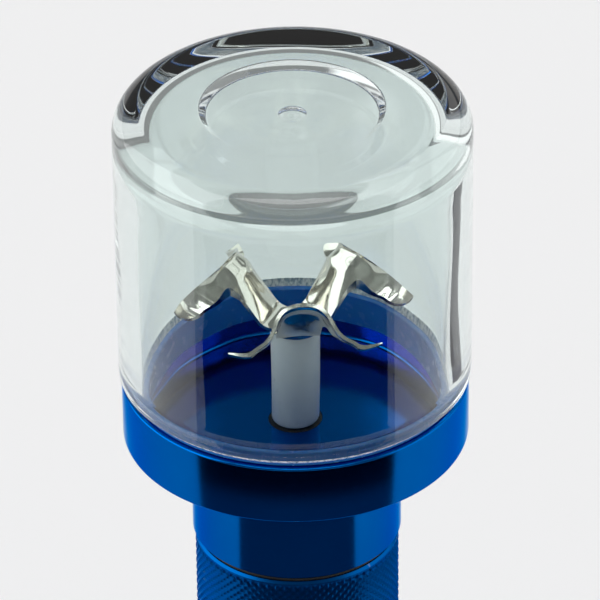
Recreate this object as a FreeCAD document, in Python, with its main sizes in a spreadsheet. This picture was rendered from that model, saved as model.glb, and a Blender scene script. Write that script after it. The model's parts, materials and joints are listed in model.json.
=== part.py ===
import FreeCAD, Part
import math
import os
import Sketcher
from FreeCAD import Vector

# Hand-held electric grinder: a glass chamber over a three-armed blade, on a battery handle.
# Millimetres. Z = 0 is the face the tail stands on, and the axis of the handle is +Z.

os.makedirs("parts", exist_ok=True)
doc = FreeCAD.newDocument("Grinder")

SIZES = {
    # levels, from the tail up
    "total_rise": 155.7,
    "rim_level": 118.0,
    "land_level": 117.4,
    "flange_foot": 109.5,
    "neck_foot": 94.9,
    "tube_shoulder": 94.2,
    "spigot_top": 100.7,
    "tail_top": 20.0,
    "tail_shoulder": 21.2,
    "tail_spigot_foot": 12.5,
    # glass cup and its seal
    "glass_radius": 22.0,
    "glass_wall": 3.0,
    "glass_base": 4.2,
    "glass_round": 3.2,
    "glass_inner_round": 3.0,
    "glass_bevel": 0.8,
    "dish_radius": 11.25,
    "dish_floor_radius": 10.4,
    "dish_depth": 0.92,
    "dimple_radius": 1.5,
    "dimple_depth": 0.35,
    "seal_outer": 21.0,
    "seal_inner": 18.1,
    "seal_lip_rise": 0.8,
    "seal_lip_drop": 3.0,
    "seal_lip_fit": 0.08,
    # head housing
    "flange_radius": 21.67,
    "recess_radius": 19.35,
    "floor_level": 111.4,
    "neck_radius": 13.2,
    "neck_bore": 11.2,
    "thread_radius": 12.3,
    "edge_break": 0.3,
    "floor_hole": 3.05,
    "shaft_seal_radius": 3.5,
    "shaft_seal_depth": 0.8,
    "foot_gap": 0.1,
    "running_gap": 0.05,
    # rotor
    "post_radius": 3.1,
    "post_top": 125.1,
    "post_round": 0.5,
    "shaft_radius": 1.0,
    "shaft_top": 119.5,
    "shaft_foot": 83.6,
    "screw_radius": 0.8,
    "screw_foot": 121.1,
    "screw_head_radius": 1.9,
    "screw_head_rise": 1.2,
    "screw_slot": 0.5,
    "screw_slot_depth": 0.6,
    "screw_slot_reach": 1.14,
    "sheet_gauge": 0.45,
    "hub_radius": 3.4,
    "hub_gauge": 0.6,
    "arm_half_width": 2.7,
    "arm_count": 3.0,
    "arm_azimuth": -84.0,
    "bar_root": 7.35,
    "bar_tip": 10.41,
    "stem_lead": 1.2,
    "hub_overlap": 0.4,
    "lip_half_span": 9.0,
    # motor
    "motor_radius": 10.0,
    "motor_wall": 0.8,
    "motor_foot": 84.5,
    "bush_radius": 3.0,
    "bush_length": 2.6,
    "bush_drop": 0.8,
    "cap_gauge": 2.0,
    "magnet_outer": 9.15,
    "magnet_inner": 7.9,
    "magnet_foot": 90.0,
    "magnet_top": 106.0,
    "magnet_span": 130.0,
    "core_radius": 7.5,
    "core_foot": 93.0,
    "core_top": 104.0,
    "core_hub": 3.0,
    "pole_stem": 2.2,
    "pole_shoe": 1.2,
    "pole_gap": 1.76,
    "pole_bite": 0.4,
    "coil_gauge": 1.3,
    "coil_clearance": 0.35,
    "coil_end_gap": 0.7,
    "commutator_radius": 2.4,
    "commutator_foot": 87.6,
    "commutator_top": 91.0,
    "brush_gauge": 0.4,
    "brush_breadth": 2.0,
    "brush_rise": 3.0,
    "brush_clearance": 1.0,
    "holder_foot": 80.2,
    "holder_radius": 11.1,
    "wire_radius": 0.6,
    "wire_offset": 6.0,
    # contact board and springs
    "board_radius": 11.3,
    "board_gauge": 1.2,
    "spring_radius": 2.6,
    "spring_wire": 0.35,
    "spring_pitch": 1.2,
    # handle tube
    "tube_radius": 12.9,
    "tube_bore": 11.4,
    "oring_bite": 0.25,
    # battery carrier
    "carrier_radius": 11.0,
    "carrier_foot": 22.4,
    "carrier_top": 74.4,
    "carrier_plate": 3.0,
    "carrier_post_radius": 2.2,
    "carrier_post_circle": 8.6,
    "cell_radius": 5.1,
    "cell_circle": 5.89,
    "cell_length": 43.6,
    "cell_nub_radius": 1.9,
    "cell_nub_rise": 0.9,
    "plate_radius": 3.4,
    "plate_gauge": 0.5,
    # tail
    "tail_radius": 13.8,
    "tail_floor": 3.0,
    "tail_deck": 5.0,
    "tail_rim_bore": 11.0,
    "button_hole": 6.3,
    "boot_radius": 6.1,
    "boot_foot": 0.9,
    "boot_skin": 0.8,
    "boot_flange_radius": 7.5,
    "boot_flange_gauge": 0.8,
    "boot_round": 0.6,
    "plunger_radius": 2.5,
    "plunger_gap": 0.1,
    "plunger_top": 10.6,
    "switch_radius": 8.0,
    "switch_foot": 8.4,
    "switch_top": 15.6,
    "switch_well": 5.2,
    "retainer_foot": 8.8,
    "retainer_top": 11.6,
}

sheet = doc.addObject("Spreadsheet::Sheet", "Sizes")
for row, (alias, number) in enumerate(SIZES.items(), start=1):
    sheet.set(f"A{row}", alias)
    sheet.set(f"B{row}", str(number))
    sheet.setAlias(f"B{row}", alias)
doc.recompute()


class Size:
    """A length or angle with its value and the sheet expression that gives it."""

    def __init__(self, value, text):
        self.value = value
        self.text = text

    def joined(self, other, sign, value):
        text = other.text if isinstance(other, Size) else str(other)
        return Size(value, f"({self.text} {sign} {text})")

    def __add__(self, other):
        return self.joined(other, "+", self.value + number_of(other))

    def __sub__(self, other):
        return self.joined(other, "-", self.value - number_of(other))

    def __mul__(self, other):
        return self.joined(other, "*", self.value * number_of(other))


def number_of(thing):
    return thing.value if isinstance(thing, Size) else float(thing)


def text_of(thing):
    return thing.text if isinstance(thing, Size) else str(thing)


def size(alias):
    return Size(float(sheet.get(alias)), f"Sizes.{alias}")


NODES = []


def keep(node, label):
    """Names a finished sub-part and lists it for export."""
    node.Label = label
    NODES.append(node)
    return node


def origin_plane(body, role):
    return next(feature for feature in body.Origin.OriginFeatures if feature.Role == role)


def new_sketch(body, label, role="XZ_Plane"):
    sketch = body.newObject("Sketcher::SketchObject", label)
    sketch.AttachmentSupport = (origin_plane(body, role), "")
    sketch.MapMode = "FlatFace"
    return sketch


def bind(sketch, kind, places, thing):
    """Adds a dimension to a sketch and ties it to the sheet."""
    index = sketch.addConstraint(Sketcher.Constraint(kind, *places, number_of(thing)))
    if isinstance(thing, Size):
        sketch.setExpression(f"Constraints[{index}]", thing.text)


def draw_outline(sketch, points):
    """A closed outline of straight lines through (across, up) points, each tied to the sheet."""
    flat = [Vector(number_of(across), number_of(up), 0) for across, up in points]
    for index, start in enumerate(flat):
        sketch.addGeometry(Part.LineSegment(start, flat[(index + 1) % len(flat)]))
    for index in range(len(flat)):
        following = (index + 1) % len(flat)
        sketch.addConstraint(Sketcher.Constraint("Coincident", index, 2, following, 1))
    for index, (across, up) in enumerate(points):
        for kind, thing, axis in (("DistanceX", across, -2), ("DistanceY", up, -1)):
            if number_of(thing) == 0:
                sketch.addConstraint(Sketcher.Constraint("PointOnObject", index, 1, axis))
            else:
                bind(sketch, kind, (-1, 1, index, 1), thing)


def turned(label, points, angle=360):
    """A piece turned about Z from (radius, level) points."""
    body = doc.addObject("PartDesign::Body", label)
    sketch = new_sketch(body, label + "_outline")
    draw_outline(sketch, points)
    turn = body.newObject("PartDesign::Revolution", label + "_turn")
    turn.Profile = sketch
    turn.ReferenceAxis = (sketch, ["V_Axis"])
    turn.Angle = number_of(angle)
    if isinstance(angle, Size):
        turn.setExpression("Angle", angle.text)
    doc.recompute()
    return keep(body, label)


def rim_edges(shape, radius, level, slack=0.02):
    """Names of the circular edges of a shape about Z with this radius and level."""
    names = []
    for index, edge in enumerate(shape.Edges, start=1):
        if not isinstance(edge.Curve, Part.Circle):
            continue
        centre = edge.Curve.Center
        same_size = abs(edge.Curve.Radius - number_of(radius)) < slack
        if same_size and abs(centre.z - number_of(level)) < slack and math.hypot(centre.x, centre.y) < slack:
            names.append(f"Edge{index}")
    return names


def softened(body, kind, rims, amount):
    """Adds a fillet or a chamfer to the circular edges at (radius, level)."""
    base = body.Tip
    names = [name for radius, level in rims for name in rim_edges(base.Shape, radius, level)]
    if len(names) < len(rims):
        raise RuntimeError(f"{body.Label}: an edge to soften is missing")
    feature = body.newObject("PartDesign::" + kind, f"{body.Label}_{kind.lower()}")
    feature.Base = (base, names)
    target = "Radius" if kind == "Fillet" else "Size"
    setattr(feature, target, number_of(amount))
    feature.setExpression(target, text_of(amount))
    doc.recompute()
    return body


def placed(node, across=0, along=0, up=0, turn=0):
    """Sets a node's place from the sheet, with a turn about Z in degrees."""
    node.Placement = FreeCAD.Placement(Vector(0, 0, 0), FreeCAD.Rotation(Vector(0, 0, 1), turn))
    for axis, thing in (("x", across), ("y", along), ("z", up)):
        node.setExpression("Placement.Base." + axis, text_of(thing))
    return node


def round_bar(label, radius, length):
    bar = doc.addObject("Part::Cylinder", label)
    bar.setExpression("Radius", text_of(radius))
    bar.setExpression("Height", text_of(length))
    return bar


def block(label, long, wide, tall):
    """A box measured from its lowest corner, which is its own origin."""
    box = doc.addObject("Part::Box", label)
    box.setExpression("Length", text_of(long))
    box.setExpression("Width", text_of(wide))
    box.setExpression("Height", text_of(tall))
    return box


def on_circle(radius, degrees):
    """The X and Y of a place on a circle, as sheet sizes."""
    angle = math.radians(degrees)
    return radius * round(math.cos(angle), 9), radius * round(math.sin(angle), 9)


# ---------------------------------------------------------------- glass cup and its seal

POLE_COUNT = 3
CELL_COUNT = 3
CUT_SLACK = 2.0

RIM = size("rim_level")
TOP = size("total_rise")
GLASS = size("glass_radius")
GLASS_BORE = GLASS - size("glass_wall")
CEILING = TOP - size("glass_base")
DISH_FLOOR = TOP - size("dish_depth")
LAND = size("land_level")


def make_glass_cup():
    cup = turned("glass_cup", [
        (GLASS_BORE, RIM),
        (GLASS - size("glass_bevel"), RIM),
        (GLASS, RIM + size("glass_bevel")),
        (GLASS, TOP),
        (size("dish_radius"), TOP),
        (size("dish_floor_radius"), DISH_FLOOR),
        (size("dimple_radius"), DISH_FLOOR),
        (0, DISH_FLOOR - size("dimple_depth")),
        (0, CEILING),
        (GLASS_BORE, CEILING),
    ])
    softened(cup, "Fillet", [(GLASS, TOP)], size("glass_round"))
    softened(cup, "Fillet", [(GLASS_BORE, CEILING)], size("glass_inner_round"))


def make_glass_seal():
    inner = size("seal_inner")
    plug = GLASS_BORE - size("seal_lip_fit")
    turned("glass_seal", [
        (inner, LAND - size("seal_lip_drop")),
        (size("recess_radius"), LAND - size("seal_lip_drop")),
        (size("recess_radius"), LAND),
        (size("seal_outer"), LAND),
        (size("seal_outer"), RIM),
        (plug, RIM),
        (plug, RIM + size("seal_lip_rise")),
        (inner, RIM + size("seal_lip_rise")),
    ])


# ---------------------------------------------------------------- head

FLOOR = size("floor_level")
FLANGE = size("flange_radius")
FLANGE_FOOT = size("flange_foot")
NECK = size("neck_radius")
NECK_FOOT = size("neck_foot")
THREAD = size("thread_radius")
SPIGOT_TOP = size("spigot_top")
SHAFT = size("shaft_radius")


def make_head_housing():
    seal = size("shaft_seal_radius")
    seal_floor = FLOOR - size("shaft_seal_depth")
    head = turned("head_housing", [
        (size("floor_hole"), FLANGE_FOOT),
        (size("floor_hole"), seal_floor),
        (seal, seal_floor),
        (seal, FLOOR),
        (size("recess_radius"), FLOOR),
        (size("recess_radius"), LAND),
        (FLANGE, LAND),
        (FLANGE, FLANGE_FOOT),
        (NECK, FLANGE_FOOT),
        (NECK, NECK_FOOT),
        (THREAD, NECK_FOOT),
        (THREAD, SPIGOT_TOP),
        (size("neck_bore"), SPIGOT_TOP),
        (size("neck_bore"), FLANGE_FOOT),
    ])
    softened(head, "Chamfer", [(FLANGE, LAND), (FLANGE, FLANGE_FOOT), (NECK, NECK_FOOT)], size("edge_break"))


def make_shaft_seal():
    turned("shaft_seal", [
        (SHAFT + size("running_gap"), FLOOR - size("shaft_seal_depth")),
        (size("shaft_seal_radius"), FLOOR - size("shaft_seal_depth")),
        (size("shaft_seal_radius"), FLOOR),
        (SHAFT + size("running_gap"), FLOOR),
    ])


# ---------------------------------------------------------------- rotor above the floor

POST_TOP = size("post_top")


def make_drive_post():
    foot = FLOOR + size("foot_gap")
    post = turned("drive_post", [
        (SHAFT, foot),
        (size("post_radius"), foot),
        (size("post_radius"), POST_TOP),
        (size("screw_radius"), POST_TOP),
        (size("screw_radius"), size("screw_foot")),
        (0, size("screw_foot")),
        (0, size("shaft_top")),
        (SHAFT, size("shaft_top")),
    ])
    softened(post, "Fillet", [(size("post_radius"), foot)], size("post_round"))


def make_blade_screw():
    head_foot = POST_TOP + size("hub_gauge")
    head_top = head_foot + size("screw_head_rise")
    screw = turned("blade_screw", [
        (0, size("screw_foot")),
        (size("screw_radius"), size("screw_foot")),
        (size("screw_radius"), head_foot),
        (size("screw_head_radius"), head_foot),
        (size("screw_head_radius"), head_top),
        (0, head_top),
    ])
    softened(screw, "Fillet", [(size("screw_head_radius"), head_top)], size("post_round"))
    half = size("screw_slot") * 0.5
    reach = size("screw_slot_reach")
    for name, across, along in (("slot_x", reach, half), ("slot_y", half, reach)):
        slot = new_sketch(screw, "blade_screw_" + name, "XY_Plane")
        corners = [(across * -1, along * -1), (across, along * -1), (across, along), (across * -1, along)]
        draw_outline(slot, corners)
        slot.setExpression("AttachmentOffset.Base.z", text_of(head_top))
        doc.recompute()
        before = screw.Shape.Volume
        cut = screw.newObject("PartDesign::Pocket", "blade_screw_cut_" + name)
        cut.Profile = slot
        cut.setExpression("Length", text_of(size("screw_slot_depth")))
        doc.recompute()
        if screw.Shape.Volume >= before:
            raise RuntimeError("the screw's slot does not cut")


# An arm runs outward and up from the hub to its end edge. Each station along its middle line is
# (outward, rise above the hub's middle, slope in degrees, depth of the arch from 0 to 1).
ARM_STATIONS = (
    (0.9, 0.0, 0.0, 0.0),
    (2.5, 0.0, 0.0, 0.0),
    (3.3, 0.35, 32.0, 0.05),
    (4.0, 1.3, 56.0, 0.2),
    (5.1, 3.1, 58.0, 0.48),
    (6.15, 4.85, 56.0, 0.76),
    (7.3, 6.5, 52.0, 0.94),
    (8.45, 8.0, 48.0, 1.0),
)

# How far the ends of the arch lean back down the arm.
ARCH_SWEEP = 0.9

# The arch across an arm at its end: (distance from the middle, drop below the crown).
ARCH = (
    (0.0, 0.0),
    (1.4, 0.2),
    (2.5, 0.85),
    (3.2, 1.9),
    (3.7, 3.1),
    (4.5, 4.3),
    (5.8, 5.15),
    (7.4, 5.65),
    (9.6, 5.75),
)


def arm_section(station, shift):
    """Points across an arm at a station, moved off the sheet's middle by shift."""
    outward, rise, slope, arch = station
    along = Vector(math.cos(math.radians(slope)), 0, math.sin(math.radians(slope)))
    drop_way = Vector(math.sin(math.radians(slope)), 0, -math.cos(math.radians(slope)))
    centre = Vector(outward, 0, rise)
    whole = [(-y, drop) for y, drop in reversed(ARCH[1:])] + list(ARCH)
    middle = []
    for y, drop in whole:
        swept = ARCH_SWEEP * arch * (y / ARCH[-1][0]) ** 2
        middle.append(centre + Vector(0, y, 0) + drop_way * (drop * arch) - along * swept)
    points = []
    for index, point in enumerate(middle):
        ahead = middle[min(index + 1, len(middle) - 1)]
        behind = middle[max(index - 1, 0)]
        normal = (ahead - behind).cross(along)
        normal.normalize()
        points.append(point + normal * shift)
    return points


def middle_of(edge):
    return edge.valueAt((edge.FirstParameter + edge.LastParameter) / 2)


def arm_sheet(gauge):
    """The bent sheet of one arm, before its outline is trimmed."""
    skins = []
    for shift in (gauge / 2, -gauge / 2):
        surface = Part.BSplineSurface()
        surface.interpolate([arm_section(station, shift) for station in ARM_STATIONS])
        skins.append(surface.toShape())
    upper, lower = skins
    sides = []
    for edge in upper.Edges:
        partner = min(lower.Edges, key=lambda other: (middle_of(other) - middle_of(edge)).Length)
        sides.append(Part.makeRuledSurface(edge, partner))
    shell = Part.makeShell(skins + sides)
    shell.sewShape()
    solid = Part.makeSolid(shell)
    if solid.Volume < 0:
        solid.reverse()
    return solid


# The plan of one side of the cross bar: at its root, (outward, beyond the stem's side), and
# at its tip, (outward, in from the end of the span).
BAR_ROOT_CURVE = ((0.0, 0.35), (1.0, 1.1), (1.9, 2.3))
BAR_TIP_CURVE = ((-0.3, 2.2), (0.25, 0.8), (1.3, 0.0))
BAR_REACH = 8.0
TRIM_RISE = 30.0
TRIM_DROP = 10.0


def mirrored(points):
    """The same points on the other side of the arm's middle line, in reverse order."""
    return [Vector(point.x, -point.y, 0) for point in reversed(points)]


def curve_through(points):
    curve = Part.BSplineCurve()
    curve.interpolate(points)
    return curve.toShape()


def straights(points):
    return [Part.LineSegment(start, end).toShape() for start, end in zip(points, points[1:])]


def arm_outline():
    """The arm's plan: a narrow stem that spreads into a cross bar with round inner corners and tips."""
    half = number_of(size("arm_half_width"))
    span = number_of(size("lip_half_span"))
    root = number_of(size("bar_root"))
    tip = number_of(size("bar_tip"))
    beyond = ARM_STATIONS[-1][0] + BAR_REACH
    side = [Vector(root + out, half + spread, 0) for out, spread in BAR_ROOT_CURVE]
    side += [Vector(tip + out, span - inset, 0) for out, inset in BAR_TIP_CURVE]
    start = Vector(number_of(size("hub_overlap")), half, 0)
    stem = [start, Vector(root - number_of(size("stem_lead")), half, 0), side[0]]
    far = [side[-1], Vector(beyond, span, 0), Vector(beyond, -span, 0), mirrored(side)[0]]
    edges = straights(stem) + [curve_through(side)] + straights(far)
    edges += [curve_through(mirrored(side))] + straights(mirrored(stem) + [start])
    face = Part.Face(Part.Wire(edges))
    return face.extrude(Vector(0, 0, TRIM_RISE)).translated(Vector(0, 0, -TRIM_DROP))


def make_blade():
    hub_gauge = number_of(size("hub_gauge"))
    arm = arm_sheet(number_of(size("sheet_gauge"))).common(arm_outline()).Solids[0]
    middle = number_of(POST_TOP) + hub_gauge / 2
    count = int(number_of(size("arm_count")))
    hub = Part.makeCylinder(number_of(size("hub_radius")), hub_gauge, Vector(0, 0, number_of(POST_TOP)))
    whole = hub
    for index in range(count):
        copy = arm.translated(Vector(0, 0, middle))
        angle = number_of(size("arm_azimuth")) + index * 360 / count
        copy.rotate(Vector(0, 0, 0), Vector(0, 0, 1), angle)
        whole = whole.fuse(copy)
    hole_foot = Vector(0, 0, number_of(POST_TOP) - CUT_SLACK)
    hole = Part.makeCylinder(number_of(size("screw_radius")), 2 * CUT_SLACK, hole_foot)
    whole = whole.cut(hole).Solids[0]
    blade = doc.addObject("Part::Feature", "blade")
    blade.Shape = whole
    blade.Placement = FreeCAD.Placement()
    keep(blade, "blade")


# ---------------------------------------------------------------- motor

MOTOR = size("motor_radius")
MOTOR_FOOT = size("motor_foot")
BUSH = size("bush_radius")


def make_motor_shell():
    wall = size("motor_wall")
    turned("motor_can", [
        (BUSH, FLANGE_FOOT - wall),
        (BUSH, FLANGE_FOOT),
        (MOTOR, FLANGE_FOOT),
        (MOTOR, MOTOR_FOOT),
        (MOTOR - wall, MOTOR_FOOT),
        (MOTOR - wall, FLANGE_FOOT - wall),
    ])
    turned("motor_end_cap", [
        (BUSH, MOTOR_FOOT),
        (MOTOR - wall, MOTOR_FOOT),
        (MOTOR - wall, MOTOR_FOOT + size("cap_gauge")),
        (BUSH, MOTOR_FOOT + size("cap_gauge")),
    ])


def make_bush(label, foot):
    top = foot + size("bush_length")
    bore = SHAFT + size("running_gap")
    turned(label, [(bore, foot), (BUSH, foot), (BUSH, top), (bore, top)])


def make_magnets():
    half_span = number_of(size("magnet_span")) / 2
    for label, middle in (("motor_magnet_left", 180), ("motor_magnet_right", 0)):
        magnet = turned(label, [
            (size("magnet_inner"), size("magnet_foot")),
            (size("magnet_outer"), size("magnet_foot")),
            (size("magnet_outer"), size("magnet_top")),
            (size("magnet_inner"), size("magnet_top")),
        ], size("magnet_span"))
        placed(magnet, turn=middle - half_span)


def make_motor_shaft():
    turned("motor_shaft", [
        (0, size("shaft_foot")),
        (SHAFT, size("shaft_foot")),
        (SHAFT, size("shaft_top")),
        (0, size("shaft_top")),
    ])


def spoke(bar, degrees, breadth, foot):
    """Turns a bar about Z, so that its middle line runs outward from the axis at this angle."""
    angle = math.radians(degrees)
    half = number_of(breadth) / 2
    corner = Vector(half * math.sin(angle), -half * math.cos(angle), foot)
    bar.Placement = FreeCAD.Placement(corner, FreeCAD.Rotation(Vector(0, 0, 1), degrees))
    return bar


def make_armature_core():
    foot = size("core_foot")
    rise = size("core_top") - foot
    hub = round_bar("core_hub_bar", size("core_hub"), rise)
    shoe_outer = round_bar("core_shoe_outer", size("core_radius"), rise)
    shoe_inner = round_bar("core_shoe_inner", size("core_radius") - size("pole_shoe"), rise)
    shoe_ring = doc.addObject("Part::Cut", "core_shoe_ring")
    shoe_ring.Base = shoe_outer
    shoe_ring.Tool = shoe_inner
    step = 360 / POLE_COUNT
    gaps = []
    poles = []
    for index in range(POLE_COUNT):
        gap = block(f"core_gap_{index}", size("core_radius") + CUT_SLACK, size("pole_gap"), rise + CUT_SLACK)
        gaps.append(spoke(gap, step * (index + 0.5), size("pole_gap"), -CUT_SLACK / 2))
        pole = block(f"core_pole_{index}", size("core_radius") - size("pole_bite"), size("pole_stem"), rise)
        poles.append(spoke(pole, step * index, size("pole_stem"), 0))
    gap_group = doc.addObject("Part::MultiFuse", "core_gaps")
    gap_group.Shapes = gaps
    shoes = doc.addObject("Part::Cut", "core_shoes")
    shoes.Base = shoe_ring
    shoes.Tool = gap_group
    iron = doc.addObject("Part::MultiFuse", "core_iron")
    iron.Shapes = [hub, shoes] + poles
    bore = round_bar("core_bore", SHAFT, rise)
    core = doc.addObject("Part::Cut", "armature_core")
    core.Base = iron
    core.Tool = bore
    placed(core, up=foot)
    keep(core, "armature_core")


def make_windings():
    gauge = size("coil_gauge")
    rise = size("core_top") - size("core_foot")
    inner = size("core_hub") + size("coil_clearance")
    length = size("core_radius") - size("pole_shoe") - inner - size("coil_end_gap")
    for index in range(POLE_COUNT):
        outer = block(f"coil_outer_{index}", length, size("pole_stem") + gauge * 2, rise + gauge * 2)
        placed(outer, inner, (size("pole_stem") * 0.5 + gauge) * -1, gauge * -1)
        hole = block(f"coil_hole_{index}", length + CUT_SLACK, size("pole_stem"), rise)
        placed(hole, inner - CUT_SLACK / 2, size("pole_stem") * -0.5, 0)
        coil = doc.addObject("Part::Cut", f"armature_winding_{index + 1}")
        coil.Base = outer
        coil.Tool = hole
        placed(coil, up=size("core_foot"), turn=360 / POLE_COUNT * index)
        keep(coil, f"armature_winding_{index + 1}")


def make_commutator():
    turned("commutator", [
        (SHAFT, size("commutator_foot")),
        (size("commutator_radius"), size("commutator_foot")),
        (size("commutator_radius"), size("commutator_top")),
        (SHAFT, size("commutator_top")),
    ])


def make_brushes():
    gap = size("commutator_radius") + size("running_gap")
    foot = MOTOR_FOOT + size("cap_gauge") + size("brush_clearance")
    for label, across in (("brush_left", (gap + size("brush_gauge")) * -1), ("brush_right", gap)):
        brush = block(label, size("brush_gauge"), size("brush_breadth"), size("brush_rise"))
        placed(brush, across, size("brush_breadth") * -0.5, foot)
        keep(brush, label)


def make_motor_holder():
    turned("motor_holder", [
        (MOTOR, size("holder_foot")),
        (size("holder_radius"), size("holder_foot")),
        (size("holder_radius"), FLANGE_FOOT),
        (MOTOR, FLANGE_FOOT),
    ])


def make_wires():
    for label, side in (("wire_plus", 1), ("wire_minus", -1)):
        wire = round_bar(label, size("wire_radius"), MOTOR_FOOT - size("holder_foot"))
        placed(wire, size("wire_offset") * side, 0, size("holder_foot"))
        keep(wire, label)


# ---------------------------------------------------------------- contact board and springs

def make_contact_board():
    foot = size("holder_foot") - size("board_gauge")
    board = round_bar("contact_board", size("board_radius"), size("board_gauge"))
    placed(board, up=foot)
    keep(board, "contact_board")


def make_spring(label, foot, top):
    """A round-wire compression spring between two levels."""
    wire = number_of(size("spring_wire"))
    radius = number_of(size("spring_radius"))
    start = number_of(foot) + wire
    helix = Part.makeHelix(number_of(size("spring_pitch")), number_of(top) - wire - start, radius)
    ring = Part.Wire(Part.makeCircle(wire, Vector(radius, 0, 0), Vector(0, 1, 0)))
    spring = doc.addObject("Part::Feature", label)
    spring.Shape = Part.Wire(helix).makePipeShell([ring], True, True)
    placed(spring, up=start)
    keep(spring, label)


# ---------------------------------------------------------------- handle tube and O-rings

TAIL_TOP = size("tail_top")
TAIL_SHOULDER = size("tail_shoulder")
TUBE = size("tube_radius")
TUBE_BORE = size("tube_bore")
TUBE_SHOULDER = size("tube_shoulder")


def make_handle_tube():
    tube = turned("handle_tube", [
        (TUBE_BORE, size("tail_spigot_foot")),
        (THREAD, size("tail_spigot_foot")),
        (THREAD, TAIL_SHOULDER),
        (TUBE, TAIL_SHOULDER),
        (TUBE, TUBE_SHOULDER),
        (THREAD, TUBE_SHOULDER),
        (THREAD, SPIGOT_TOP),
        (TUBE_BORE, SPIGOT_TOP),
    ])
    softened(tube, "Chamfer", [(TUBE, TAIL_SHOULDER), (TUBE, TUBE_SHOULDER)], size("edge_break"))


def make_oring(label, foot, top):
    """A square-cut sealing ring squeezed between two shoulders."""
    outer = TUBE - size("oring_bite")
    turned(label, [(THREAD, foot), (outer, foot), (outer, top), (THREAD, top)])


# ---------------------------------------------------------------- battery carrier

CARRIER = size("carrier_radius")
CARRIER_FOOT = size("carrier_foot")
CARRIER_TOP = size("carrier_top")
PLATE = size("carrier_plate")


def make_carrier_frame():
    frame = turned("carrier_frame", [
        (0, CARRIER_FOOT),
        (CARRIER, CARRIER_FOOT),
        (CARRIER, CARRIER_FOOT + PLATE),
        (0, CARRIER_FOOT + PLATE),
    ])
    sketch = new_sketch(frame, "carrier_post_outline", "XY_Plane")
    sketch.addGeometry(Part.Circle(Vector(-number_of(size("carrier_post_circle")), 0, 0), Vector(0, 0, 1),
                                   number_of(size("carrier_post_radius"))))
    bind(sketch, "Radius", (0,), size("carrier_post_radius"))
    sketch.addConstraint(Sketcher.Constraint("PointOnObject", 0, 3, -1))
    bind(sketch, "DistanceX", (-1, 1, 0, 3), size("carrier_post_circle") * -1)
    sketch.setExpression("AttachmentOffset.Base.z", text_of(CARRIER_FOOT + PLATE * 0.5))
    post = frame.newObject("PartDesign::Pad", "carrier_post")
    post.Profile = sketch
    post.setExpression("Length", text_of(CARRIER_TOP - PLATE - CARRIER_FOOT - PLATE * 0.5))
    frame.Tip = post
    doc.recompute()
    ring = frame.newObject("PartDesign::PolarPattern", "carrier_posts")
    ring.Originals = [post]
    ring.Axis = (sketch, ["N_Axis"])
    ring.Angle = 360
    ring.Occurrences = CELL_COUNT
    frame.Tip = ring
    doc.recompute()
    turned("carrier_cap", [
        (0, CARRIER_TOP - PLATE),
        (CARRIER, CARRIER_TOP - PLATE),
        (CARRIER, CARRIER_TOP),
        (0, CARRIER_TOP),
    ])


def make_cells():
    foot = CARRIER_FOOT + PLATE + size("plate_gauge")
    shoulder = foot + size("cell_length")
    nub_top = shoulder + size("cell_nub_rise")
    for index in range(CELL_COUNT):
        cell = turned(f"cell_{index + 1}", [
            (0, foot),
            (size("cell_radius"), foot),
            (size("cell_radius"), shoulder),
            (size("cell_nub_radius"), shoulder),
            (size("cell_nub_radius"), nub_top),
            (0, nub_top),
        ])
        across, along = on_circle(size("cell_circle"), 360 / CELL_COUNT * index)
        placed(cell, across, along)


def make_carrier_plates():
    levels = (("bottom", CARRIER_FOOT + PLATE), ("top", CARRIER_TOP - PLATE - size("plate_gauge")))
    for side, level in levels:
        discs = []
        for index in range(CELL_COUNT):
            disc = round_bar(f"plate_{side}_{index}", size("plate_radius"), size("plate_gauge"))
            across, along = on_circle(size("cell_circle"), 360 / CELL_COUNT * index)
            discs.append(placed(disc, across, along, level))
        group = doc.addObject("Part::Compound", f"carrier_plates_{side}")
        group.Links = discs
        keep(group, f"carrier_plates_{side}")


# ---------------------------------------------------------------- tail

TAIL = size("tail_radius")
DECK = size("tail_deck")
TAIL_THREAD = THREAD + size("running_gap")


def make_tail_cap():
    cap = turned("tail_cap", [
        (size("tail_rim_bore"), 0),
        (TAIL, 0),
        (TAIL, TAIL_TOP),
        (TAIL_THREAD, TAIL_TOP),
        (TAIL_THREAD, DECK),
        (size("button_hole"), DECK),
        (size("button_hole"), size("tail_floor")),
        (size("tail_rim_bore"), size("tail_floor")),
    ])
    softened(cap, "Chamfer", [(TAIL, TAIL_TOP)], size("edge_break") * 2)


def make_switch():
    turned("switch_body", [
        (0, size("switch_foot") + size("switch_well")),
        (size("plunger_radius") + size("plunger_gap"), size("switch_foot") + size("switch_well")),
        (size("plunger_radius") + size("plunger_gap"), size("switch_foot")),
        (size("switch_radius"), size("switch_foot")),
        (size("switch_radius"), size("switch_top")),
        (0, size("switch_top")),
    ])
    turned("switch_retainer", [
        (size("switch_radius"), size("retainer_foot")),
        (TAIL_THREAD, size("retainer_foot")),
        (TAIL_THREAD, size("retainer_top")),
        (size("switch_radius"), size("retainer_top")),
    ])


def make_button():
    skin = size("boot_skin")
    flange_top = DECK + size("boot_flange_gauge")
    boot = turned("switch_boot", [
        (0, size("boot_foot")),
        (size("boot_radius"), size("boot_foot")),
        (size("boot_radius"), DECK),
        (size("boot_flange_radius"), DECK),
        (size("boot_flange_radius"), flange_top),
        (size("boot_radius") - skin, flange_top),
        (size("boot_radius") - skin, size("boot_foot") + skin),
        (0, size("boot_foot") + skin),
    ])
    softened(boot, "Fillet", [(size("boot_radius"), size("boot_foot"))], size("boot_round"))
    turned("switch_plunger", [
        (0, size("boot_foot") + skin),
        (size("plunger_radius"), size("boot_foot") + skin),
        (size("plunger_radius"), size("plunger_top")),
        (0, size("plunger_top")),
    ])


# ---------------------------------------------------------------- build, check and write

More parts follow.
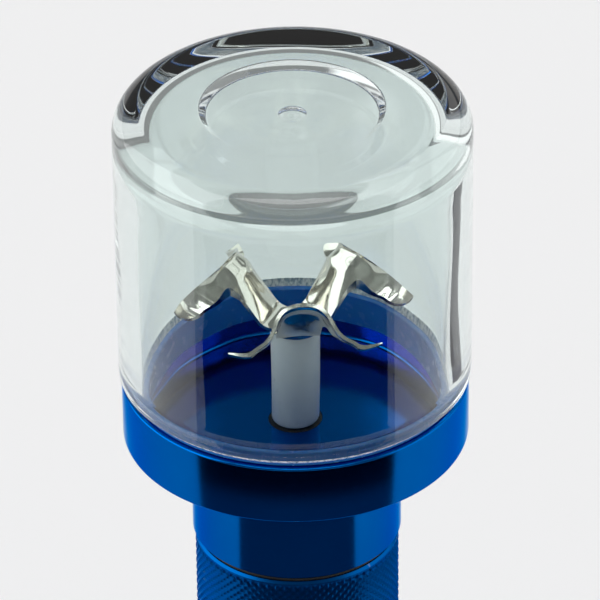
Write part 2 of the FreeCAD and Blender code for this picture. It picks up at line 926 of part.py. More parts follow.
make_glass_cup()
make_glass_seal()
make_head_housing()
make_shaft_seal()
make_drive_post()
make_blade_screw()
make_blade()
make_motor_shell()
make_bush("front_bush", FLANGE_FOOT - size("motor_wall") - size("bush_drop"))
make_bush("rear_bush", MOTOR_FOOT)
make_magnets()
make_motor_shaft()
make_armature_core()
make_windings()
make_commutator()
make_brushes()
make_motor_holder()
make_wires()
make_contact_board()
make_spring("contact_spring", CARRIER_TOP, size("holder_foot") - size("board_gauge"))
make_handle_tube()
make_oring("neck_oring", TUBE_SHOULDER, NECK_FOOT)
make_carrier_frame()
make_cells()
make_carrier_plates()
make_tail_cap()
make_oring("tail_oring", TAIL_TOP, TAIL_SHOULDER)
make_switch()
make_button()
make_spring("tail_spring", size("switch_top"), CARRIER_FOOT)
doc.recompute()

for feature in doc.Objects:
    if "Invalid" in feature.State or "Error" in feature.State:
        raise RuntimeError(f"{feature.Label} did not build: {feature.State}")
for node in NODES:
    if node.Shape.isNull() or not node.Shape.isValid() or not node.Shape.Solids:
        raise RuntimeError(f"{node.Label} is not a valid solid")
    node.Shape.exportStep(f"parts/{node.Label}.step")
print("nodes", len(NODES))
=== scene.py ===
import json
import math

import bmesh
import bpy
from mathutils import Matrix, Vector, noise


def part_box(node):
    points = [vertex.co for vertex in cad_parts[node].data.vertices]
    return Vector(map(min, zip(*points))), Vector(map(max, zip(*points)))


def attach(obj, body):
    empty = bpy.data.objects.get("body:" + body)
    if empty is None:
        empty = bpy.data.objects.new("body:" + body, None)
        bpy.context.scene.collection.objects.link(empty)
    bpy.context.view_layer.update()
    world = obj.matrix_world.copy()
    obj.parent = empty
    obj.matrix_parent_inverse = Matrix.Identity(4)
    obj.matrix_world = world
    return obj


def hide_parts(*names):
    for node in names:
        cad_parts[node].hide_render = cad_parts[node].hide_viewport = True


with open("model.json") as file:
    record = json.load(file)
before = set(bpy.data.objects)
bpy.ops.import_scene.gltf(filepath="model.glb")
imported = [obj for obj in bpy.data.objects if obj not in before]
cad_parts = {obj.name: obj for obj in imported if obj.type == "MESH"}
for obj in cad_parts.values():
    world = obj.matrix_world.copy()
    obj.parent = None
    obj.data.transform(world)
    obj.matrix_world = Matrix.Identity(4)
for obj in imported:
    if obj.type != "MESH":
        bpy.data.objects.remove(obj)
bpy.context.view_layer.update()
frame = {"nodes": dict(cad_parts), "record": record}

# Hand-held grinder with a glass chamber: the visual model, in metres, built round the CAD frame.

MM = 0.001
NODES = frame["nodes"]


# ---------------------------------------------------------------- places from the frame

def low(node):
    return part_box(node)[0].z


def high(node):
    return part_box(node)[1].z


def reach(node):
    """Outer radius of a turned node."""
    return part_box(node)[1].x


RIM = low("glass_cup")
TOP = high("glass_cup")
GLASS = reach("glass_cup")
GLASS_WALL = 3.0 * MM
GLASS_BASE = 4.2 * MM
GLASS_CORNER = 3.2 * MM
GLASS_INNER_ROUND = 3.0 * MM
GLASS_BEVEL = 0.8 * MM
GLASS_BORE = GLASS - GLASS_WALL
CEILING = TOP - GLASS_BASE
DISH_RADIUS = 11.25 * MM
DISH_FLOOR_RADIUS = 10.4 * MM
DISH_DEPTH = 0.92 * MM
SEAL_INNER = 18.1 * MM
SEAL_FIT = 0.08 * MM
FLANGE = reach("head_housing")
LAND = high("head_housing")
FLOOR = high("shaft_seal")
FLANGE_FOOT = high("motor_can")
RECESS = 19.35 * MM
NECK = 13.2 * MM
NECK_BORE = 11.2 * MM
SPIGOT_LENGTH = 5.8 * MM
FLOOR_HOLE = 3.05 * MM
SHAFT_HOLE = 1.05 * MM
EDGE_BREAK = 0.3 * MM
NECK_FOOT = low("head_housing")
THREAD = 12.3 * MM
TUBE = reach("handle_tube")
TUBE_BORE = 11.4 * MM
TUBE_SHOULDER = low("neck_oring")
TAIL = reach("tail_cap")
TAIL_TOP = high("tail_cap")
TAIL_SHOULDER = high("tail_oring")
TAIL_DECK = 5.0 * MM
TAIL_THREAD = reach("switch_retainer")
CELL_COUNT = 3
CELL_CIRCLE = 5.89 * MM
ON_AXIS = 1e-9

# ---------------------------------------------------------------- mesh tools


def arc(centre, radius, start, end, steps=8):
    """Points (radius, level) on an arc, with angles in degrees from the outward direction."""
    points = []
    for step in range(steps + 1):
        angle = math.radians(start + (end - start) * step / steps)
        points.append((centre[0] + radius * math.cos(angle), centre[1] + radius * math.sin(angle)))
    return points


def chamfer(corner, before, after, size):
    """Two points that cut a corner off towards the points before and after it."""
    cuts = []
    for other in (before, after):
        gap = math.hypot(other[0] - corner[0], other[1] - corner[1])
        cuts.append((corner[0] + (other[0] - corner[0]) * size / gap,
                     corner[1] + (other[1] - corner[1]) * size / gap))
    return cuts


def broken(profile, size, kept=()):
    """A closed profile with every corner cut by a small chamfer, but for those whose places are kept."""
    result = []
    for index, corner in enumerate(profile):
        before = profile[index - 1]
        after = profile[(index + 1) % len(profile)]
        if index in kept or corner[0] < ON_AXIS:
            result.append(corner)
        else:
            result += chamfer(corner, before, after, size)
    return result


def new_object(name, mesh):
    piece = bpy.data.objects.new(name, mesh)
    bpy.context.scene.collection.objects.link(piece)
    return piece


def finish_mesh(mesh, sharp=32):
    mesh.validate()
    for polygon in mesh.polygons:
        polygon.use_smooth = True
    mesh.set_sharp_from_angle(angle=math.radians(sharp))
    mesh.update()


def lathe(name, profile, segments=160, sharp=32, shape=None):
    """A closed (radius, level) profile turned about Z. shape(radius, level, angle) may move each point."""
    verts = []
    rings = []
    for radius, level in profile:
        if radius < ON_AXIS:
            rings.append([len(verts)])
            verts.append((0, 0, level))
            continue
        ring = []
        for step in range(segments):
            angle = 2 * math.pi * step / segments
            moved = shape(radius, level, angle) if shape else (radius, level)
            ring.append(len(verts))
            verts.append((moved[0] * math.cos(angle), moved[0] * math.sin(angle), moved[1]))
        rings.append(ring)
    faces = []
    for index, ring in enumerate(rings):
        following = rings[(index + 1) % len(rings)]
        if len(ring) == 1 and len(following) == 1:
            continue
        for step in range(segments):
            after = (step + 1) % segments
            if len(ring) == 1:
                faces.append((ring[0], following[after], following[step]))
            elif len(following) == 1:
                faces.append((ring[step], ring[after], following[0]))
            else:
                faces.append((ring[step], ring[after], following[after], following[step]))
    mesh = bpy.data.meshes.new(name)
    mesh.from_pydata(verts, [], faces)
    work = bmesh.new()
    work.from_mesh(mesh)
    bmesh.ops.recalc_face_normals(work, faces=work.faces)
    work.to_mesh(mesh)
    work.free()
    finish_mesh(mesh, sharp)
    return new_object(name, mesh)


# ---------------------------------------------------------------- materials

class Shader:
    """A Principled material with helpers for procedural detail placed in the object's own frame."""

    def __init__(self, name):
        self.material = bpy.data.materials.new(name)
        self.material.use_nodes = True
        self.tree = self.material.node_tree
        self.main = self.tree.nodes["Principled BSDF"]
        self.place = self.tree.nodes.new("ShaderNodeTexCoord").outputs["Object"]

    def node(self, kind, **inputs):
        made = self.tree.nodes.new(kind)
        for key, value in inputs.items():
            self.feed(made.inputs[key.replace("_", " ")], value)
        return made

    def feed(self, socket, value):
        if isinstance(value, bpy.types.NodeSocket):
            self.tree.links.new(value, socket)
        else:
            socket.default_value = value

    def set(self, **values):
        for key, value in values.items():
            self.feed(self.main.inputs[key.replace("_", " ")], value)

    def maths(self, operation, first, second=0.0):
        made = self.tree.nodes.new("ShaderNodeMath")
        made.operation = operation
        self.feed(made.inputs[0], first)
        self.feed(made.inputs[1], second)
        return made.outputs[0]

    def noise(self, scale, detail=3.0, stretch=(1, 1, 1), roughness=0.5):
        mapping = self.node("ShaderNodeMapping", Vector=self.place)
        mapping.inputs["Scale"].default_value = stretch
        made = self.node("ShaderNodeTexNoise", Vector=mapping.outputs[0], Scale=scale, Detail=detail,
                         Roughness=roughness)
        return made.outputs["Fac"]

    def span(self, value, low_end, high_end, start=0.3, end=0.7):
        made = self.node("ShaderNodeMapRange", Value=value)
        made.inputs["From Min"].default_value = start
        made.inputs["From Max"].default_value = end
        made.inputs["To Min"].default_value = low_end
        made.inputs["To Max"].default_value = high_end
        return made.outputs[0]

    def mix(self, factor, first, second):
        made = self.tree.nodes.new("ShaderNodeMix")
        made.data_type = "RGBA"
        self.feed(made.inputs["Factor"], factor)
        self.feed(made.inputs["A"], first)
        self.feed(made.inputs["B"], second)
        return made.outputs["Result"]

    def bump(self, height, strength, distance):
        made = self.node("ShaderNodeBump", Height=height, Strength=strength, Distance=distance)
        self.set(Normal=made.outputs[0])
        return self

    def turning(self, pitch):
        """Fine rings, as a lathe tool leaves them on walls and on flat faces alike."""
        split = self.node("ShaderNodeSeparateXYZ", Vector=self.place)
        across = self.maths("MULTIPLY", split.outputs[0], split.outputs[0])
        along = self.maths("MULTIPLY", split.outputs[1], split.outputs[1])
        radius = self.maths("SQRT", self.maths("ADD", across, along))
        line = self.node("ShaderNodeCombineXYZ", X=radius, Y=split.outputs[2], Z=0.0)
        made = self.node("ShaderNodeTexNoise", Vector=line.outputs[0], Scale=1.0 / pitch, Detail=2.0)
        return made.outputs["Fac"]

    def wear(self, near, far):
        """1 on convex edges and 0 elsewhere, broken up by noise."""
        edge = self.node("ShaderNodeNewGeometry").outputs["Pointiness"]
        convex = self.span(edge, 0.0, 1.0, near, far)
        return self.maths("MULTIPLY", convex, self.span(self.noise(900), 0.0, 1.0))


def rgb(red, green, blue):
    return (red, green, blue, 1.0)


EDGE_TINT = rgb(0.1, 0.5, 1.0)


def anodised(name, colour, deep, bare, roughness):
    shader = Shader(name)
    rings = shader.turning(0.09 * MM)
    cloud = shader.span(shader.noise(60), 0.0, 1.0)
    colour = shader.mix(cloud, colour, deep)
    worn = shader.wear(0.6, 0.75)
    shader.set(Base_Color=shader.mix(shader.maths("MULTIPLY", worn, 0.5), colour, bare), Metallic=1.0)
    shader.set(Roughness=shader.span(shader.maths("ADD", rings, shader.maths("MULTIPLY", cloud, 0.2)),
                                     roughness * 0.8, roughness * 1.25, 0.35, 0.85))
    shader.main.inputs["Specular Tint"].default_value = EDGE_TINT
    return shader.bump(rings, 0.12, 0.02 * MM).material


def bright_metal(name, colour, dull, roughness, bumpy=0.03):
    shader = Shader(name)
    cloud = shader.noise(220, 4.0)
    scratch = shader.noise(1500, 2.0, (1, 0.08, 0.3))
    shader.set(Base_Color=shader.mix(shader.span(cloud, 0.0, 1.0), colour, dull), Metallic=1.0)
    shader.set(Roughness=shader.span(scratch, roughness * 0.7, roughness * 1.5))
    height = shader.maths("ADD", cloud, shader.maths("MULTIPLY", scratch, 0.4))
    return shader.bump(height, 0.3, bumpy * MM).material


def moulded(name, colour, shade, roughness, grain=0.02):
    shader = Shader(name)
    fine = shader.noise(2600, 3.0)
    cloud = shader.noise(150, 3.0)
    shader.set(Base_Color=shader.mix(shader.span(cloud, 0.0, 1.0), colour, shade))
    shader.set(Roughness=shader.span(fine, roughness * 0.85, roughness * 1.15))
    return shader.bump(fine, 0.25, grain * MM).material


def clear_glass():
    shader = Shader("moulded_glass")
    waves = shader.noise(70, 2.0, (1, 1, 0.25))
    shader.set(Base_Color=rgb(0.835, 0.905, 0.89), Transmission_Weight=1.0, IOR=1.5)
    shader.set(Roughness=shader.span(waves, 0.0, 0.012))
    return shader.bump(waves, 0.18, 0.05 * MM).material


def ground_glass():
    shader = Shader("ground_glass")
    split = shader.noise(2400, 2.0, (1, 1, 0.15))
    tone = shader.mix(shader.span(split, 0.0, 1.0, 0.4, 0.6), rgb(0.35, 0.45, 0.55), rgb(0.95, 0.97, 0.98))
    shader.set(Base_Color=tone, Transmission_Weight=0.05, IOR=1.5)
    shader.set(Roughness=shader.span(split, 0.2, 0.5))
    return shader.bump(split, 0.8, 0.08 * MM).material


def silicone():
    shader = Shader("blue_silicone")
    fine = shader.noise(800)
    shader.set(Base_Color=rgb(0.03, 0.2, 0.62), Transmission_Weight=0.0, IOR=1.41)
    shader.set(Roughness=shader.span(fine, 0.2, 0.3), Subsurface_Weight=0.5, Subsurface_Scale=1.0 * MM)
    return shader.bump(fine, 0.2, 0.02 * MM).material


def nylon():
    shader = Shader("white_nylon")
    fine = shader.noise(1800)
    cloud = shader.noise(200)
    tone = shader.mix(shader.span(cloud, 0.0, 1.0), rgb(0.86, 0.88, 0.9), rgb(0.78, 0.81, 0.85))
    shader.set(Base_Color=tone)
    shader.set(Roughness=shader.span(fine, 0.26, 0.38), Subsurface_Weight=0.6, Subsurface_Scale=2.5 * MM)
    shader.main.inputs["Subsurface Radius"].default_value = (1.0, 1.0, 1.0)
    return shader.bump(fine, 0.15, 0.02 * MM).material


SLEEVE_BAND = 11.0 * MM
NUB_BAND = 0.95 * MM


def banded_cell():
    """The shrink sleeve of a cell, dark with a copper-coloured shoulder, and bare steel at the nub."""
    shader = Shader("cell_sleeve")
    level = shader.node("ShaderNodeSeparateXYZ", Vector=shader.place).outputs[2]
    band = high("cell_1") - SLEEVE_BAND
    nub = high("cell_1") - NUB_BAND
    in_band = shader.maths("GREATER_THAN", level, band)
    in_nub = shader.maths("GREATER_THAN", level, nub)
    fine = shader.noise(1200)
    sleeve = shader.mix(in_band, rgb(0.02, 0.02, 0.022), rgb(0.5, 0.22, 0.07))
    shader.set(Base_Color=shader.mix(in_nub, sleeve, rgb(0.7, 0.7, 0.72)))
    shader.set(Metallic=shader.maths("MAXIMUM", shader.maths("MULTIPLY", in_band, 0.6), in_nub))
    shader.set(Roughness=shader.span(fine, 0.22, 0.34))
    return shader.bump(fine, 0.1, 0.02 * MM).material


BLUE = rgb(0.0, 0.118, 0.44)
DEEP_BLUE = rgb(0.0, 0.095, 0.39)
BARE = rgb(0.62, 0.7, 0.82)
MATERIALS = {
    "glass": clear_glass(),
    "blue_anodised": anodised("blue_anodised", BLUE, DEEP_BLUE, BARE, 0.13),
    "blue_knurl": anodised("blue_knurl", rgb(0.0, 0.1, 0.36), rgb(0.0, 0.075, 0.29), BARE, 0.3),
    "blade_steel": bright_metal("blade_steel", rgb(0.82, 0.78, 0.71), rgb(0.72, 0.68, 0.61), 0.1, 0.008),
    "steel": bright_metal("steel", rgb(0.62, 0.62, 0.64), rgb(0.5, 0.5, 0.52), 0.28),
    "shaft_steel": bright_metal("shaft_steel", rgb(0.72, 0.72, 0.74), rgb(0.62, 0.62, 0.65), 0.15),
    "white_nylon": nylon(),
    "black_rubber": moulded("black_rubber", rgb(0.012, 0.012, 0.014), rgb(0.02, 0.02, 0.022), 0.6),
    "blue_silicone": silicone(),
    "black_plastic": moulded("black_plastic", rgb(0.02, 0.02, 0.022), rgb(0.03, 0.03, 0.032), 0.42),
    "white_plastic": moulded("white_plastic", rgb(0.8, 0.8, 0.77), rgb(0.72, 0.72, 0.69), 0.4),
    "bronze": bright_metal("bronze", rgb(0.6, 0.4, 0.2), rgb(0.45, 0.3, 0.16), 0.4),
    "copper": bright_metal("copper", rgb(0.7, 0.3, 0.14), rgb(0.55, 0.22, 0.1), 0.3, 0.1),
    "ferrite": moulded("ferrite", rgb(0.06, 0.06, 0.065), rgb(0.09, 0.09, 0.095), 0.55),
    "iron": bright_metal("iron", rgb(0.32, 0.32, 0.33), rgb(0.22, 0.22, 0.23), 0.4),
    "brass": bright_metal("brass", rgb(0.76, 0.6, 0.32), rgb(0.62, 0.47, 0.23), 0.25),
    "board": moulded("board", rgb(0.03, 0.2, 0.08), rgb(0.02, 0.15, 0.06), 0.35),
    "red_wire": moulded("red_wire", rgb(0.5, 0.02, 0.02), rgb(0.42, 0.02, 0.02), 0.4),
    "cell_sleeve": banded_cell(),
}
GROUND = ground_glass()


def dress(piece, slot):
    piece.data.materials.clear()
    piece.data.materials.append(MATERIALS[slot])


def stand_for(piece, slot, *nodes):
    """Gives a piece its material, its body and the CAD nodes it replaces."""
    dress(piece, slot)
    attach(piece, piece_body(nodes[0]))
    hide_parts(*nodes)


def piece_body(node):
    bodies = frame["record"]["behaviour"]["bodies"]
    return next(body for body, members in bodies.items() if node in members)


# ---------------------------------------------------------------- glass

def glass_wave(radius, level, angle):
    """A moulded cup's inner wall is never quite round: long, shallow waves that fade at the rim."""
    if radius > GLASS_BORE + 0.2 * MM or level > CEILING - 1.0 * MM:
        return radius, level
    fade_in = min(1.0, max(0.0, (level - RIM) / (4.0 * MM)))
    fade = fade_in * min(1.0, max(0.0, (CEILING - level) / (7.0 * MM)))
    spot = Vector((math.cos(angle) * 2.2, math.sin(angle) * 2.2, level / (16.0 * MM)))
    return radius - fade * 0.09 * MM * (noise.noise(spot) + 0.4), level


def build_glass():
    corner = GLASS_CORNER
    inner = GLASS_INNER_ROUND
    dish = TOP - DISH_DEPTH
    wall = [(GLASS_BORE, RIM + (CEILING - inner - RIM) * step / 14) for step in range(1, 15)]
    profile = [(0.0, CEILING), (GLASS_BORE - inner, CEILING)]
    profile += arc((GLASS_BORE - inner, CEILING - inner), inner, 90, 0, 14)[1:]
    profile += list(reversed(wall[:-1]))
    profile += [(GLASS_BORE, RIM + 0.25 * MM), (GLASS_BORE + 0.25 * MM, RIM)]
    profile += [(GLASS - GLASS_BEVEL, RIM), (GLASS, RIM + GLASS_BEVEL), (GLASS, RIM + 1.4 * MM)]
    profile += [(GLASS, RIM + 12.0 * MM), (GLASS, TOP - corner - 4.0 * MM)]
    profile += arc((GLASS - corner, TOP - corner), corner, 0, 90, 16)
    profile += [(14.0 * MM, TOP)]
    profile += arc((DISH_RADIUS + 0.3 * MM, TOP - 0.3 * MM), 0.3 * MM, 90, 160, 5)
    profile += arc((DISH_FLOOR_RADIUS - 0.1 * MM, dish + 0.35 * MM), 0.35 * MM, -20, -90, 5)
    profile += [(6.0 * MM, dish), (2.2 * MM, dish)]
    profile += arc((1.9 * MM, dish - 0.3 * MM), 0.3 * MM, 80, 150, 4)
    profile += [(1.1 * MM, dish - 0.32 * MM), (0.5 * MM, dish - 0.2 * MM), (0.0, dish - 0.1 * MM)]
    cup = lathe("glass_chamber", profile, 256, 50, glass_wave)
    stand_for(cup, "glass", "glass_cup")
    cup.data.materials.append(GROUND)
    for polygon in cup.data.polygons:
        centre = polygon.center
        radius = math.hypot(centre.x, centre.y)
        if centre.z < RIM + 0.82 * MM and radius > GLASS - 0.9 * MM:
            polygon.material_index = 1


def build_seal():
    inner = SEAL_INNER
    plug = GLASS_BORE - SEAL_FIT
    foot = low("glass_seal")
    top = high("glass_seal")
    outer = reach("glass_seal")
    profile = [
        (inner, foot), (RECESS, foot), (RECESS, LAND), (outer, LAND),
        (outer, RIM), (plug, RIM), (plug, top), (inner, top),
    ]
    stand_for(lathe("seal_ring", broken(profile, 0.15 * MM)), "blue_silicone", "glass_seal")


# ---------------------------------------------------------------- head and rotor

def build_head():
    rim_break = EDGE_BREAK
    profile = [
        (FLOOR_HOLE, FLANGE_FOOT), (FLOOR_HOLE, low("shaft_seal")), (reach("shaft_seal"), low("shaft_seal")),
        (reach("shaft_seal"), FLOOR),
    ]
    profile += [(10.0 * MM, FLOOR), (17.0 * MM, FLOOR)]
    profile += arc((RECESS - 0.5 * MM, FLOOR + 0.5 * MM), 0.5 * MM, -90, 0, 6)
    profile += [(RECESS, LAND - 0.15 * MM), (RECESS + 0.15 * MM, LAND)]
    profile += [(FLANGE - rim_break, LAND)]
    profile += arc((FLANGE - rim_break, LAND - rim_break), rim_break, 80, 10, 3)
    profile += [(FLANGE, LAND - rim_break), (FLANGE, FLANGE_FOOT + rim_break)]
    profile += arc((FLANGE - rim_break, FLANGE_FOOT + rim_break), rim_break, -10, -80, 3)
    profile += [(FLANGE - rim_break, FLANGE_FOOT), (NECK + 0.8 * MM, FLANGE_FOOT)]
    profile += [(NECK, FLANGE_FOOT - 0.01 * MM)]
    profile += [(NECK, NECK_FOOT + rim_break), (NECK - rim_break, NECK_FOOT), (THREAD, NECK_FOOT)]
    spigot_top = NECK_FOOT + SPIGOT_LENGTH
    profile += [(THREAD, spigot_top), (NECK_BORE, spigot_top), (NECK_BORE, FLANGE_FOOT)]
    stand_for(lathe("dished_head", profile, 224), "blue_anodised", "head_housing")


def build_rotor():
    foot = low("drive_post")
    top = high("drive_post")
    radius = reach("drive_post")
    profile = [(0.0, foot), (radius - 0.5 * MM, foot)]
    profile += arc((radius - 0.5 * MM, foot + 0.5 * MM), 0.5 * MM, -75, 0, 5)
    profile += arc((radius - 0.2 * MM, top - 0.2 * MM), 0.2 * MM, 0, 75, 4)
    profile += [(radius - 0.2 * MM, top), (0.0, top)]
    stand_for(lathe("nylon_post", profile, 96), "white_nylon", "drive_post")
    seal = reach("shaft_seal")
    foot = low("shaft_seal")
    ring = [(SHAFT_HOLE, foot), (seal, foot), (seal, FLOOR), (SHAFT_HOLE, FLOOR)]
    stand_for(lathe("post_foot_seal", broken(ring, 0.12 * MM), 96), "black_rubber", "shaft_seal")


# ---------------------------------------------------------------- knurl, tube and tail

KNURL_PITCH = 1.1 * MM
KNURL_DEPTH = 0.3 * MM


def knurled(name, profile_below, profile_above, radius, start, end, segments_per_tooth=4):
    """A turned piece whose outer wall from start to end carries a diamond knurl."""
    teeth = round(2 * math.pi * radius / KNURL_PITCH)
    rows = round((end - start) / KNURL_PITCH) * segments_per_tooth
    lift = 0.0004 * MM

    def diamond(at_radius, level, angle):
        if at_radius < radius - lift or level < start - lift or level > end + lift:
            return at_radius, level
        around = angle / (2 * math.pi) * teeth
        along = (level - start) / KNURL_PITCH
        first = abs((around + along) % 1.0 - 0.5) * 2
        second = abs((around - along) % 1.0 - 0.5) * 2
        height = min(1.0, 1.7 * min(first, second))
        edge = min(1.0, (level - start) / (0.3 * MM), (end - level) / (0.3 * MM))
        return at_radius - KNURL_DEPTH * (1 - height) * max(0.0, edge), level

    wall = [(radius, start + (end - start) * row / rows) for row in range(rows + 1)]
    return lathe(name, profile_below + wall + profile_above, teeth * segments_per_tooth, 40, diamond)


def build_tube():
    spigot = low("handle_tube")
    top = high("handle_tube")
    edge = EDGE_BREAK
    below = [(TUBE_BORE, spigot), (THREAD - edge, spigot), (THREAD, spigot + edge), (THREAD, TAIL_SHOULDER)]
    below += [(TUBE - edge, TAIL_SHOULDER), (TUBE, TAIL_SHOULDER + edge)]
    above = [(TUBE, TUBE_SHOULDER - edge), (TUBE - edge, TUBE_SHOULDER), (THREAD, TUBE_SHOULDER)]
    above += [(THREAD, top), (TUBE_BORE, top)]
    tube = knurled("knurled_tube", below, above, TUBE, TAIL_SHOULDER + 0.5 * MM, TUBE_SHOULDER - 0.5 * MM)
    stand_for(tube, "blue_knurl", "handle_tube")


def build_tail():
    edge = 0.6 * MM
    deck = 3.0 * MM
    below = [(TAIL_THREAD, TAIL_TOP), (TAIL_THREAD, TAIL_DECK)]
    below += [(6.3 * MM, TAIL_DECK), (6.3 * MM, deck + 0.2 * MM)]
    below += [(6.5 * MM, deck), (11.0 * MM, deck), (11.0 * MM, 0.3 * MM), (11.3 * MM, 0.0)]
    below += [(TAIL - edge, 0.0), (TAIL, edge), (TAIL, 2.4 * MM), (TAIL - 0.4 * MM, 2.8 * MM)]
    below += [(TAIL - 0.4 * MM, 3.4 * MM), (TAIL, 3.8 * MM)]
    above = [(TAIL, 16.6 * MM), (TAIL - 0.4 * MM, 17.0 * MM)]
    above += [(TAIL - 0.4 * MM, 17.6 * MM), (TAIL, 18.0 * MM)]
    above += [(TAIL, TAIL_TOP - edge), (TAIL - edge, TAIL_TOP)]
    cap = knurled("knurled_tail_cap", below, above, TAIL, 4.2 * MM, 16.2 * MM)
    stand_for(cap, "blue_knurl", "tail_cap")


def build_button():
    foot = low("switch_boot")
    radius = 6.1 * MM
    skin = 0.8 * MM
    flange = reach("switch_boot")
    top = high("switch_boot")
    profile = [(0.0, foot + 0.25 * MM), (1.6 * MM, foot + 0.22 * MM)]
    for ring in (2.2, 3.2, 4.2):
        profile += arc((ring * MM, foot + 0.24 * MM), 0.24 * MM, 180, 360, 6)
    profile += arc((radius - 0.7 * MM, foot + 0.7 * MM), 0.7 * MM, -90, 0, 8)
    profile += [(radius, TAIL_DECK), (flange, TAIL_DECK), (flange, top), (radius - skin, top)]
    profile += [(radius - skin, foot + skin), (0.0, foot + skin)]
    stand_for(lathe("rubber_button", profile, 96), "black_rubber", "switch_boot")


def build_orings():
    for name, node in (("neck_sealing_ring", "neck_oring"), ("tail_sealing_ring", "tail_oring")):
        foot = low(node)
        top = high(node)
        half = (top - foot) / 2
        outer = reach(node)
        profile = [(THREAD, foot), (outer - half * 0.6, foot)]
        profile += arc((outer - half * 0.6, foot + half), half * 0.6, -60, 60, 8)
        profile += [(outer - half * 0.6, top), (THREAD, top)]
        stand_for(lathe(name, profile, 160), "black_rubber", node)


def build_cells():
    foot = low("cell_1")
    top = high("cell_1")
    radius = reach("cell_1") - CELL_CIRCLE
    shoulder = top - 0.9 * MM
    profile = [(0.0, foot + 0.1 * MM), (3.6 * MM, foot + 0.1 * MM)]
    profile += [(3.8 * MM, foot), (radius - 0.5 * MM, foot)]
    profile += arc((radius - 0.4 * MM, foot + 0.4 * MM), 0.4 * MM, -80, 0, 5)
    profile += arc((radius - 0.4 * MM, shoulder - 0.4 * MM), 0.4 * MM, 0, 80, 5)
    profile += [(radius - 1.0 * MM, shoulder), (radius - 1.3 * MM, shoulder - 0.2 * MM)]
    profile += [(2.3 * MM, shoulder - 0.15 * MM), (1.9 * MM, shoulder)]
    profile += arc((1.6 * MM, top - 0.3 * MM), 0.3 * MM, 0, 80, 4)
    profile += [(0.0, top)]
    for index in range(CELL_COUNT):
        angle = math.radians(360 / CELL_COUNT * index)
        cell = lathe(f"wrapped_cell_{index + 1}", profile, 96)
        place = (CELL_CIRCLE * math.cos(angle), CELL_CIRCLE * math.sin(angle), 0)
        cell.data.transform(Matrix.Translation(place))
        stand_for(cell, "cell_sleeve", f"cell_{index + 1}")


def dress_nodes():
    """Every CAD node that still shows gets its procedural material and smooth shading."""
    for entry in frame["record"]["subparts"]:
        node = NODES[entry["node"]]
        dress(node, entry["material_slot"])
        for polygon in node.data.polygons:
            polygon.use_smooth = True
        node.data.set_sharp_from_angle(angle=math.radians(32))


# ---------------------------------------------------------------- stage, light and camera

MATT = 0.9
FLOOR_HALF = 12.0
CARD_LEVEL = 0.002
INNER_CARD_LEVEL = 0.003
FRONT = (-90, 64)
RIGHT = (45, 7)


def flat_material(name, colour):
    shader = Shader(name)
    tone = shader.noise(0.6)
    shade = tuple(channel * 0.985 for channel in colour[:3]) + (1.0,)
    shader.set(Base_Color=shader.mix(tone, colour, shade), Roughness=MATT, Specular_IOR_Level=0.0)
    return shader.material


def card(name, corners, material, seen=("glossy",)):
    """A flat stage card that only some rays see."""
    mesh = bpy.data.meshes.new(name)
    mesh.from_pydata(corners, [], [tuple(range(len(corners)))])
    piece = new_object(name, mesh)
    mesh.materials.append(material)
    piece.visible_camera = False
    piece.visible_diffuse = False
    piece.visible_shadow = False
    piece.visible_volume_scatter = False
    piece.visible_glossy = "glossy" in seen
    piece.visible_transmission = "transmission" in seen


def sector(radius_in, radius_out, middle, half, level, steps=24):
    """Corners of a flat ring sector about the handle's axis, with angles in degrees."""
    inner = []
    outer = []
    for step in range(steps + 1):
        angle = math.radians(middle - half + 2 * half * step / steps)
        inner.append((radius_in * math.cos(angle), radius_in * math.sin(angle), level))
        outer.append((radius_out * math.cos(angle), radius_out * math.sin(angle), level))
    return outer + list(reversed(inner))


def build_stage():
    half = FLOOR_HALF
    mesh = bpy.data.meshes.new("floor")
    corners = [(-half, -half, 0), (half, -half, 0), (half, half, 0), (-half, half, 0)]
    mesh.from_pydata(corners, [], [(0, 1, 2, 3)])
    floor = new_object("floor", mesh)
    mesh.materials.append(flat_material("pale_floor", rgb(0.87, 0.87, 0.875)))
    dark = flat_material("dark_card", rgb(0.004, 0.005, 0.012))
    dim = flat_material("dim_card", rgb(0.1, 0.105, 0.14))
    card("front_near_card", sector(0.05, 0.178, *FRONT, CARD_LEVEL), dim)
    card("front_dark_card", sector(0.178, 0.9, *FRONT, CARD_LEVEL), dark)
    card("front_inner_card", sector(0.1, 0.3, *FRONT, INNER_CARD_LEVEL), dark, ("transmission",))
    card("right_dark_card", sector(0.17, 0.3, *RIGHT, INNER_CARD_LEVEL), dark, ("transmission",))


# Softboxes in the studio round the object: (middle azimuth, half width, lowest and highest
# elevation, brightness), with angles in degrees and azimuth counted from +X towards +Y.
SOFTBOXES = (
    (178, 38, 8, 58, 2.2),
    (2, 30, 8, 50, 1.4),
    (62, 22, 18, 52, 1.1),
    (-90, 60, 62, 84, 3.4),
    (90, 70, -2, 12, 0.8),
)
ROOM = 0.26
STUDIO_STRENGTH = 1.07


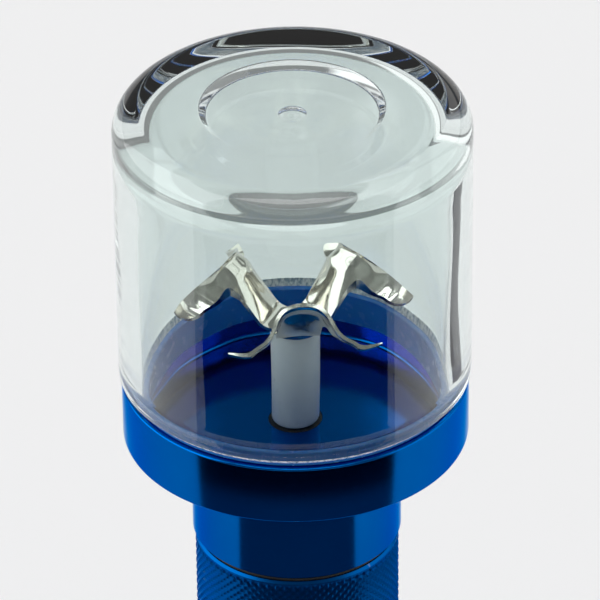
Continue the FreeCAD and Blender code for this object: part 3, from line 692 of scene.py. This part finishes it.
def build_world():
    world = bpy.data.worlds.new("studio")
    bpy.context.scene.world = world
    world.use_nodes = True
    tree = world.node_tree
    back = tree.nodes["Background"]
    place = tree.nodes.new("ShaderNodeTexCoord").outputs["Generated"]
    split = tree.nodes.new("ShaderNodeSeparateXYZ")
    tree.links.new(place, split.inputs[0])

    def maths(operation, first, second=0.0, third=0.0):
        made = tree.nodes.new("ShaderNodeMath")
        made.operation = operation
        for index, value in enumerate((first, second, third)):
            if isinstance(value, bpy.types.NodeSocket):
                tree.links.new(value, made.inputs[index])
            else:
                made.inputs[index].default_value = value
        return made.outputs[0]

    def soft_step(value, edge, width):
        made = tree.nodes.new("ShaderNodeMapRange")
        made.interpolation_type = "SMOOTHSTEP"
        tree.links.new(value, made.inputs["Value"])
        made.inputs["From Min"].default_value = edge - width
        made.inputs["From Max"].default_value = edge + width
        return made.outputs[0]

    azimuth = maths("ARCTAN2", split.outputs[1], split.outputs[0])
    elevation = maths("ARCSINE", split.outputs[2])
    blur = math.radians(1.5)
    total = ROOM
    for middle, half, lowest, highest, glow in SOFTBOXES:
        turned = maths("SUBTRACT", azimuth, math.radians(middle))
        around = maths("ABSOLUTE", maths("WRAP", turned, math.pi, -math.pi))
        inside = maths("SUBTRACT", 1.0, soft_step(around, math.radians(half), blur))
        above = soft_step(elevation, math.radians(lowest), blur)
        below = maths("SUBTRACT", 1.0, soft_step(elevation, math.radians(highest), blur))
        lit = maths("MULTIPLY", maths("MULTIPLY", inside, above), maths("MULTIPLY", below, glow - ROOM))
        total = maths("ADD", total, lit)
    tree.links.new(maths("MULTIPLY", total, STUDIO_STRENGTH), back.inputs["Strength"])
    back.inputs["Color"].default_value = (1.0, 1.0, 1.0, 1.0)


# Light crosses the thick glass wall many times on its way round the rim.
GLASS_BOUNCES = 24


def set_light_paths():
    cycles = bpy.context.scene.cycles
    cycles.max_bounces = GLASS_BOUNCES
    cycles.glossy_bounces = GLASS_BOUNCES
    cycles.transmission_bounces = GLASS_BOUNCES


# The camera: angles in degrees, distances and lens in millimetres.
CAMERA_ELEVATION = 32.654
CAMERA_ROLL = 0.629
CAMERA_DISTANCE = 699.92
CAMERA_LENS = 339.37
CAMERA_ASIDE = 0.69
CAMERA_ABOVE_RIM = 9.975
SENSOR_WIDTH = 36.0


def build_camera():
    elevation = math.radians(CAMERA_ELEVATION)
    roll = math.radians(CAMERA_ROLL)
    target = Vector((CAMERA_ASIDE * MM, 0.0, RIM + CAMERA_ABOVE_RIM * MM))
    distance = CAMERA_DISTANCE * MM
    away = Vector((0, -math.cos(elevation), math.sin(elevation)))
    right = Vector((1, 0, 0))
    up = Vector((0, math.sin(elevation), math.cos(elevation)))
    camera_right = right * math.cos(roll) - up * math.sin(roll)
    camera_up = right * math.sin(roll) + up * math.cos(roll)
    data = bpy.data.cameras.new("photo_camera")
    data.sensor_width = SENSOR_WIDTH
    data.lens = CAMERA_LENS
    data.clip_start = 0.01
    data.clip_end = 100.0
    camera = bpy.data.objects.new("photo_camera", data)
    bpy.context.scene.collection.objects.link(camera)
    turn = Matrix((camera_right, camera_up, away)).transposed().to_4x4()
    camera.matrix_world = Matrix.Translation(target + away * distance) @ turn
    bpy.context.scene.camera = camera
    bpy.context.scene.view_settings.view_transform = "Standard"


dress_nodes()
build_glass()
build_seal()
build_head()
build_rotor()
build_tube()
build_tail()
build_button()
build_orings()
build_cells()
build_stage()
build_world()
set_light_paths()
build_camera()
